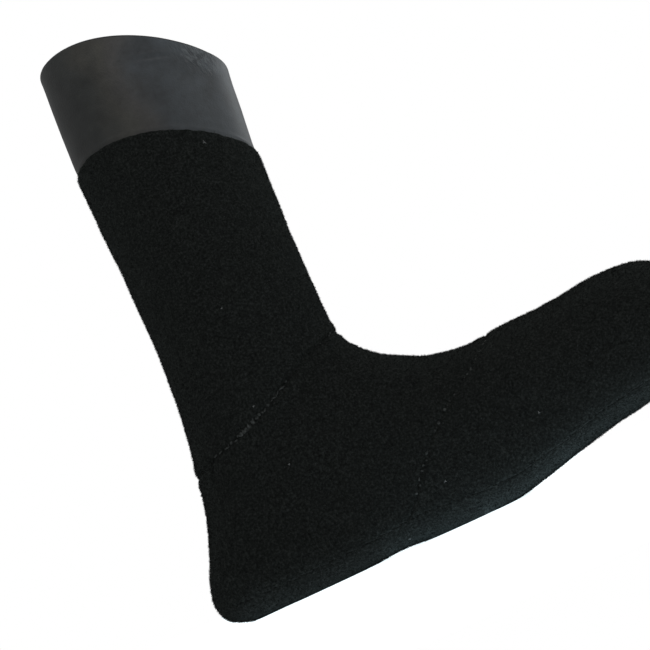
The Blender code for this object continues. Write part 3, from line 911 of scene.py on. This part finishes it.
# %% Its two faces and its lip
seal_outer = seal_base + seal_normals * seal_relief(seal_base)[..., None]
seal_inner = seal_base - seal_normals * SEAL_WALL
seal_up = seal_base[-1] - seal_base[-4]
seal_up /= np.linalg.norm(seal_up, axis=1, keepdims=True)
seal_lip = rolled_lip(seal_outer, seal_inner, seal_normals[-1], seal_up, SEAL_LIP)
print("seal relief, mm:", round(np.linalg.norm(seal_outer - seal_base, axis=2).max() / MM, 2))

# %% [markdown]
# ## The seal's cast skin
# Foam rubber cast against a smooth plate has a satin skin with a broad soft highlight. Its tone drifts
# from grey over brown to blue as it goes round, with cloudy patches, and pales towards the edge, where
# it is worn. Going round from the back to the front it is also painted about three times lighter, as
# painted light from the toe's side. Where it was pulled over a foot, there are short slanting lines,
# finer than the mesh. So they are made in the material: a noise stretched along the pull, which fades
# out around one place, and which both paints a highlight along the lines and makes them stand up.

# %% The tone of the skin
# the seal's own hue, grey over brown to blue, with painted light: about three times lighter from the back
# to the front
SEAL_HUES_AND_PAINTED_LIGHT = [
    (0.00, (0.0075, 0.0088, 0.0088)), (0.28, (0.0130, 0.0142, 0.0132)), (0.42, (0.0245, 0.0232, 0.0192)),
    (0.52, (0.0262, 0.0248, 0.0240)), (0.64, (0.0192, 0.0228, 0.0264)), (1.00, (0.0220, 0.0268, 0.0310)),
]
PAINTED_LIGHT_AND_HUE_SPAN = (-0.010, 0.080)  # from the back to the front of the seal, in metres
PAINTED_LIGHT_AND_HUE_SWAY = 0.030
UP_TO_EDGE = (0.362, -0.085, 1.0)  # square to the seal's slanted edge
WORN_SPAN = (0.262, 0.281)


def mapped(tree, source, low, high, to_low=0.0, to_high=1.0):
    """A value moved from one range into another."""
    inputs = {"Value": source, "From Min": low, "From Max": high, "To Min": to_low, "To Max": to_high}
    return fed(tree, "ShaderNodeMapRange", inputs, "Result")


def reckoned(tree, operation, first, second, kind="ShaderNodeMath"):
    return fed(tree, kind, {0: first, 1: second}, "Value", operation=operation)


def blended(tree, way, share, first, second):
    return fed(tree, "ShaderNodeMix", {0: share, 6: first, 7: second}, 2, data_type="RGBA", blend_type=way)


def seal_tone_and_painted_light(tree):
    place = position(tree)
    sway = reckoned(tree, "MULTIPLY", noise(tree, 45.0, 2.0, 0.5), PAINTED_LIGHT_AND_HUE_SWAY)
    across = reckoned(tree, "ADD", fed(tree, "ShaderNodeSeparateXYZ", {"Vector": place}, "X"), sway)
    # the seal's hue with painted light, lighter towards the front
    hue_and_painted_light = colour_ramp(tree, mapped(tree, across, *PAINTED_LIGHT_AND_HUE_SPAN), SEAL_HUES_AND_PAINTED_LIGHT)
    cloudy = colour_ramp(tree, noise(tree, 60.0, 9.0, 0.72), [(0.35, (0.55,) * 3), (0.65, (1.45,) * 3)])
    height = reckoned(tree, "DOT_PRODUCT", place, UP_TO_EDGE, "ShaderNodeVectorMath")
    worn = colour_ramp(tree, mapped(tree, height, *WORN_SPAN), [(0.0, (1.0,) * 3), (1.0, (1.45,) * 3)])
    return blended(tree, "MULTIPLY", 1.0, blended(tree, "MULTIPLY", 1.0, hue_and_painted_light, cloudy), worn)


print("tones round the seal:", len(SEAL_HUES_AND_PAINTED_LIGHT))

# %% Its pulled lines and the whole skin
LINES_AT = (0.0575, -0.0250, 0.2640)
LINES_FADE = (0.006, 0.0155)
LINES_SLANT = math.radians(-30.0)
LINES_STRETCH = 3.5
# painted highlight: the colour put along the pulled lines
PAINTED_HIGHLIGHT_LINE = (0.085, 0.094, 0.100, 1.0)
SATIN = (0.38, 0.54)


def pulled_lines(tree):
    place = position(tree)
    pull = {"Vector": place, "Rotation": (0.0, LINES_SLANT, 0.0), "Scale": (1.0, 1.0, LINES_STRETCH)}
    slanted = fed(tree, "ShaderNodeMapping", pull, "Vector", vector_type="TEXTURE")
    away = reckoned(tree, "DISTANCE", place, LINES_AT, "ShaderNodeVectorMath")
    fade = mapped(tree, away, *LINES_FADE, 1.0, 0.0)
    return reckoned(tree, "MULTIPLY", noise(tree, 620.0, 2.0, 0.6, slanted), fade)


def seal_material():
    made, tree, shader = new_material("cast_skin", (0.030, 0.031, 0.033), 0.44, 0.5)
    lines = pulled_lines(tree)
    # painted highlight along the pulled lines, which the bump below also raises
    painted_highlight_share = mapped(tree, lines, 0.44, 0.60, 0.0, 0.70)
    colour = blended(tree, "MIX", painted_highlight_share, seal_tone_and_painted_light(tree), PAINTED_HIGHLIGHT_LINE)
    satin = mapped(tree, noise(tree, 90.0, 6.0, 0.7), 0.0, 1.0, *SATIN)
    grain = bumped(tree, noise(tree, 1100.0, 3.0, 0.6), 0.55, 0.0003)
    tree.links.new(colour, shader.inputs["Base Color"])
    tree.links.new(satin, shader.inputs["Roughness"])
    tree.links.new(bumped(tree, lines, 1.0, 0.0009, grain), shader.inputs["Normal"])
    return made


cast_skin = seal_material()
print("the seal's material has", len(cast_skin.node_tree.nodes), "nodes")

# %% Make the seal
vertices, faces, slots = wall_mesh(seal_outer, seal_inner, np.ones((SEAL_ROWS, AROUND), bool), seal_lip, 1)
seal = mesh_piece("smooth_ankle_seal", vertices, faces, [cast_skin, lining], slots)
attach(seal, "root")
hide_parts("ankle_seal")
print(seal.name, len(vertices), "points", len(faces), "faces")

# %% [markdown]
# ## What shows of the glue and thread in the seams
# In the ankle seam a pale line of glue and thread comes and goes, strongest in the middle of the side.
# In the forefoot seam there are only fine dots. They could be a texture, but the pile would hide it, so
# they are small flattened beads, laid on the valley along the seam's curve, a little out of line.

# %% One bead
BEAD_SIDES = 8


def bead(middle, heading, normal, length, width, height):
    """A low rounded bead: a ring on the skin, a smaller one above it, a top and a base."""
    across = np.cross(normal, heading)
    ring = []
    for turn in np.linspace(0.0, 2 * math.pi, BEAD_SIDES + 1)[:-1]:
        ring.append(middle + heading * length / 2 * math.cos(turn) + across * width / 2 * math.sin(turn))
    inner = [middle + normal * height * 0.8 + (point - middle) * 0.6 for point in ring]
    return [*ring, *inner, middle + normal * height, middle - normal * height * 0.3]


BEAD_PAIRS = [(n, (n + 1) % BEAD_SIDES) for n in range(BEAD_SIDES)]
BEAD_FACES = [[a, b, b + BEAD_SIDES, a + BEAD_SIDES] for a, b in BEAD_PAIRS]
BEAD_FACES += [[a + BEAD_SIDES, b + BEAD_SIDES, 2 * BEAD_SIDES] for a, b in BEAD_PAIRS]
BEAD_FACES += [[b, a, 2 * BEAD_SIDES + 1] for a, b in BEAD_PAIRS]
print("faces of a bead:", len(BEAD_FACES))

# %% Where a seam runs over the skin
SEAM_REACH = 3 * MM
SEAM_PITCH = 0.8 * MM


def on_side(side):
    """Which points of the skin lie on the inner side, -1, or on the outer side, 1."""
    return np.sign(plush_base[..., 1] - plush_base[..., 1].mean(axis=1, keepdims=True)) == side


def seam_run(distance, along, side):
    """Where the seam crosses the skin's cells on one side of the boot, in order along the seam."""
    found = []
    wanted = on_side(side)
    for di, dj in ((0, 1), (1, 0)):
        here = np.s_[:len(distance) - di, :AROUND - dj]
        change = np.sign(distance[here]) != np.sign(distance[di:, dj:])
        change &= np.abs(distance[here]) < SEAM_REACH
        for i, j in np.argwhere(change & wanted[here]):
            share = distance[i, j] / (distance[i, j] - distance[i + di, j + dj])
            point = plush_outer[i, j] * (1 - share) + plush_outer[i + di, j + dj] * share
            found.append((along[i, j], *point, *plush_normals[i, j]))
    found = np.array(sorted(found))
    bins = np.round(found[:, 0] / SEAM_PITCH).astype(int)
    return np.array([found[bins == b].mean(axis=0) for b in np.unique(bins)])


ankle_runs = [seam_run(to_ankle, along_ankle, side) for side in (-1, 1)]
open_forefoot = np.nan_to_num(np.where(to_sole > 1 * MM, to_forefoot, np.inf), posinf=1.0)
forefoot_runs = [seam_run(open_forefoot, along_forefoot, side) for side in (-1, 1)]
print("places along the ankle seam:", [len(run) for run in ankle_runs])
print("places along the forefoot seam:", [len(run) for run in forefoot_runs])

# %% A row of beads
BEAD_LIFT = 1.3  # over the skin, in bead heights
BEAD_SCATTER = 0.32
BEAD_TWIST = 0.40


def seam_beads(name, runs, look, seed, pitch, lengths, height, habit):
    """Beads laid along the runs; habit gives each place's chance of a bead and its width in mm."""
    rng = np.random.default_rng(seed)
    vertices = []
    faces = []
    for run in runs:
        path = run[:, 1:4]
        steps = np.concatenate([[0.0], np.cumsum(np.linalg.norm(np.diff(path, axis=0), axis=1))])
        at = 0.0
        while at < steps[-1]:
            length = rng.uniform(*lengths)
            middle_at = at + length / 2
            at += length + rng.uniform(*pitch)
            here, ahead = (np.array([np.interp(s, steps, path[:, n]) for n in range(3)])
                           for s in (middle_at - 0.4 * MM, middle_at + 0.4 * MM))
            chance, width = habit(here)
            if rng.random() > chance or middle_at > steps[-1]:
                continue
            normal = np.array([np.interp(middle_at, steps, run[:, 4 + n]) for n in range(3)])
            normal /= np.linalg.norm(normal)
            heading = ahead - here
            heading -= (heading @ normal) * normal
            heading /= max(np.linalg.norm(heading), 1e-9)
            scatter = rng.normal(size=3) * BEAD_SCATTER * MM
            middle = (here + ahead) / 2 + normal * BEAD_LIFT * height + scatter
            heading = heading + BEAD_TWIST * rng.normal(size=3)
            heading /= np.linalg.norm(heading)
            first = len(vertices)
            width = width * MM * rng.uniform(0.5, 1.45)
            vertices += bead(middle, heading, normal, length, width, height)
            faces += [[corner + first for corner in face] for face in BEAD_FACES]
    piece = mesh_piece(name, [tuple(v) for v in vertices], faces, [look])
    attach(piece, "root")
    print(name, len(faces) // len(BEAD_FACES), "beads")


# %% What the glue looks like


def glue_material():
    made, tree, shader = new_material("seam_glue", (0.032, 0.035, 0.034), 0.8, 0.15)
    streaks = noise(tree, 700.0, 2.0)
    tones = colour_ramp(tree, streaks, [(0.35, (0.018, 0.020, 0.019)), (0.65, (0.052, 0.056, 0.054))])
    tree.links.new(tones, shader.inputs["Base Color"])
    return made


glue = glue_material()
print("material:", glue.name)

# %% Lay the beads


def ankle_habit(place):
    x = place[0] / MM
    chance = np.interp(x, [-12, -10, -5, 0, 4, 14, 20, 32, 34, 56, 58, 64, 66],
                       [0, 0.7, 0.6, 0.7, 1, 1, 0.9, 0.9, 0.05, 0.05, 0.6, 0.5, 0])
    return chance, np.interp(x, [-10, 2, 5, 14, 18, 26, 33], [1.2, 1.3, 2.3, 2.3, 1.7, 1.1, 0.8])


def forefoot_habit(place):
    chance = np.interp(place[2] / MM, [8, 14, 18, 25, 35, 38, 43, 52, 55, 62, 68, 76],
                       [0.5, 0.8, 0.4, 0.9, 0.9, 0.5, 1, 1, 0.6, 0.6, 0.9, 0.4])
    return chance, np.interp(place[2] / MM, [30, 43, 52, 60], [1.3, 1.8, 1.8, 1.3])


seam_beads("ankle_seam_glue", ankle_runs, glue, 61, (-1.6 * MM, 1.5 * MM),
           (0.5 * MM, 3.2 * MM), 0.35 * MM, ankle_habit)
seam_beads("forefoot_seam_dots", forefoot_runs, glue, 62, (-0.4 * MM, 2.2 * MM),
           (0.7 * MM, 2.6 * MM), 0.16 * MM, forefoot_habit)

# %% [markdown]
# ## Lint
# Black plush picks up lint. A handful of pale specks, each a short curled thread, sit on the inner side
# and a few on the other, where a hand would brush them. Each is three beads that lie across each other.

# %% Where the lint lies
Speck = namedtuple("Speck", "x z side size")  # in millimetres; side -1 is the inner side

LINT = [
    Speck(44.2, 216.3, -1, 1.8), Speck(19.8, 137.1, -1, 0.9), Speck(14.2, 89.5, -1, 0.9),
    Speck(18.5, 57.6, -1, 0.9), Speck(80.5, 21.7, -1, 1.1), Speck(54.0, 5.5, -1, 1.0),
    Speck(131.0, 31.0, -1, 1.2), Speck(30.0, 188.0, 1, 1.2), Speck(60.0, 60.0, 1, 1.0),
    Speck(150.0, 45.0, 1, 1.1), Speck(8.0, 110.0, 1, 0.8),
]
THREAD_WIDTH = 0.28
THREAD_HEIGHT = 0.14
THREAD_LIFT = 0.9  # it lies on the tips of the pile
lint_look = new_material("lint", (0.16, 0.165, 0.165), 0.8, 0.3)[0]


def on_skin(x, z, side):
    """The skin's point and normal at this place as seen from the side."""
    distance = np.hypot(plush_base[..., 0] - x, plush_base[..., 2] - z) + np.where(on_side(side), 0.0, 1.0)
    i, j = np.unravel_index(np.argmin(distance), distance.shape)
    return plush_outer[i, j], plush_normals[i, j]


first_place = on_skin(LINT[0].x * MM, LINT[0].z * MM, LINT[0].side)[0]
print("the first speck lies at, mm:", (first_place / MM).round(1))

# %% Put the lint down
rng = np.random.default_rng(71)
vertices = []
faces = []
for speck in LINT:
    middle, normal = on_skin(speck.x * MM, speck.z * MM, speck.side)
    heading = np.cross(normal, rng.normal(size=3))
    heading /= np.linalg.norm(heading)
    bend = np.cross(normal, heading)
    for n in range(3):
        turn = n * 2.1 + rng.uniform(0, 1)
        along = heading * math.cos(turn) + bend * math.sin(turn)
        spot = middle + normal * THREAD_LIFT * MM + along * 0.25 * speck.size * MM
        first = len(vertices)
        vertices += bead(spot, along, normal, speck.size * 0.8 * MM, THREAD_WIDTH * MM, THREAD_HEIGHT * MM)
        faces += [[corner + first for corner in face] for face in BEAD_FACES]
lint = mesh_piece("lint", [tuple(v) for v in vertices], faces, [lint_look])
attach(lint, "root")
print("lint specks:", len(LINT))

# %% [markdown]
# ## Floor, light and camera
# The boot stands on a plain white floor in a white studio. A sheet that is lit from below would wash
# the black plush out, so floor and walls are bright only where the camera looks at them, and weaker
# where they light the boot. Six weak strips lie on the floor and face up: they give the sole's side its
# pale blue edge. The large soft boxes at the toe's side draw the light edge along the seal.
# The camera stands low, almost at the floor, and is rolled, as the photograph shows the boot at a slant.

# %% The floor
FLOOR_REACH = 4.0
FLOOR_GLOW_ON_BOOT = 0.26
FLOOR_GLOW_IN_VIEW = 1.20

floor_look, floor_tree, floor_shader = new_material("floor_white", (0.80, 0.80, 0.80), 0.9, 0.0)
floor_shader.inputs["Emission Color"].default_value = (0.84, 0.96, 1.0, 1.0)
in_view = floor_tree.nodes.new("ShaderNodeLightPath").outputs["Is Camera Ray"]
glow = mapped(floor_tree, in_view, 0.0, 1.0, FLOOR_GLOW_ON_BOOT, FLOOR_GLOW_IN_VIEW)
floor_tree.links.new(glow, floor_shader.inputs["Emission Strength"])
floor_corners = [(x * FLOOR_REACH, y * FLOOR_REACH, 0) for x, y in ((-1, -1), (1, -1), (1, 1), (-1, 1))]
floor = mesh_piece("floor", floor_corners, [(0, 1, 2, 3)], [floor_look], smooth=False)
print("floor:", 2 * FLOOR_REACH, "m wide")

# %% The studio's walls
WALLS_ON_BOOT = 0.30
WALLS_IN_VIEW = 1.0

world = bpy.data.worlds.new("studio")
bpy.context.scene.world = world
world.use_nodes = True
tree = world.node_tree
tree.nodes.clear()
in_view = tree.nodes.new("ShaderNodeLightPath").outputs["Is Camera Ray"]
on_boot, seen = (
    fed(tree, "ShaderNodeBackground", {"Color": (1.0, 1.0, 1.0, 1.0), "Strength": strength}, "Background")
    for strength in (WALLS_ON_BOOT, WALLS_IN_VIEW)
)
walls = fed(tree, "ShaderNodeMixShader", {0: in_view, 1: on_boot, 2: seen}, "Shader")
tree.links.new(walls, tree.nodes.new("ShaderNodeOutputWorld").inputs["Surface"])
print("walls:", WALLS_ON_BOOT, "on the boot,", WALLS_IN_VIEW, "in view")

# %% Where the lights stand
SoftBox = namedtuple("SoftBox", "name place aim width height power colour")
Strip = namedtuple("Strip", "name x y width height power colour")

MIDDLE = (0.06, 0.0, 0.1)
SEAL_MIDDLE = (0.05, 0.0, 0.22)
SOFT_BOXES = [
    SoftBox("overhead", (0.1, 0.0, 1.6), MIDDLE, 2.0, 2.0, 8.0, (1.0, 1.0, 1.0)),
    SoftBox("in_front", (0.1, -1.6, 0.9), MIDDLE, 1.6, 1.2, 2.4, (1.0, 1.0, 0.98)),
    SoftBox("toe_side", (1.15, -0.40, 0.72), SEAL_MIDDLE, 1.1, 0.7, 2.1, (0.95, 0.99, 1.0)),
    SoftBox("behind_toe_side", (1.05, 0.85, 0.62), SEAL_MIDDLE, 1.0, 0.7, 2.2, (0.94, 0.98, 1.0)),
]
PALE_BLUE = (0.66, 0.87, 1.0)
STRIPS = [
    Strip("strip_toe", 0.195, -0.040, 0.130, 0.024, 0.0125, PALE_BLUE),
    Strip("strip_under_toe", 0.190, -0.006, 0.120, 0.040, 0.0110, PALE_BLUE),
    Strip("strip_ball", 0.115, -0.033, 0.050, 0.030, 0.0074, PALE_BLUE),
    Strip("strip_waist", 0.068, -0.028, 0.050, 0.032, 0.0067, PALE_BLUE),
    Strip("strip_heel", 0.005, -0.029, 0.080, 0.028, 0.0056, (0.74, 0.90, 1.0)),
    Strip("strip_outer", 0.150, -0.066, 0.200, 0.028, 0.018, PALE_BLUE),
]
STRIP_HEIGHT = 0.0002
print("light in all, W:", round(sum(light.power for light in SOFT_BOXES + STRIPS), 2))

# %% Soft boxes and floor strips


def softbox(name, place, aim, width, height, power, colour):
    data = bpy.data.lights.new(name, "AREA")
    data.shape = "RECTANGLE"
    data.size = width
    data.size_y = height
    data.energy = power
    data.color = colour
    made = bpy.data.objects.new(name, data)
    made.location = place
    made.rotation_euler = (Vector(aim) - Vector(place)).to_track_quat("-Z", "Y").to_euler()
    bpy.context.scene.collection.objects.link(made)


for box in SOFT_BOXES:
    softbox(*box)
for strip in STRIPS:
    softbox(strip.name, (strip.x, strip.y, STRIP_HEIGHT), (strip.x, strip.y, 1.0), *strip[3:])
print("lights:", len(SOFT_BOXES), "soft boxes and", len(STRIPS), "floor strips")

# %% The camera
CAMERA_PLACE = Vector((0.06019, -0.5856, 0.00915))
CAMERA_AIM = Vector((0.06019, 0.0, 0.11640))
CAMERA_ROLL = math.radians(24.8125)
FOCAL_PIXELS = 1200.0
FRAME_PIXELS = 650.0
SENSOR = 36.0

camera_data = bpy.data.cameras.new("camera")
camera_data.sensor_width = SENSOR
camera_data.lens = SENSOR * FOCAL_PIXELS / FRAME_PIXELS
camera = bpy.data.objects.new("camera", camera_data)
forward = (CAMERA_AIM - CAMERA_PLACE).normalized()
level_right = forward.cross(Vector((0, 0, 1))).normalized()
level_up = level_right.cross(forward)
right = level_right * math.cos(CAMERA_ROLL) - level_up * math.sin(CAMERA_ROLL)
up = level_right * math.sin(CAMERA_ROLL) + level_up * math.cos(CAMERA_ROLL)
turn = Matrix((right, up, -forward)).transposed()
camera.matrix_world = Matrix.Translation(CAMERA_PLACE) @ turn.to_4x4()
bpy.context.scene.collection.objects.link(camera)
bpy.context.scene.camera = camera
bpy.context.scene.view_settings.view_transform = "Standard"
print("lens, mm:", round(camera_data.lens, 2))
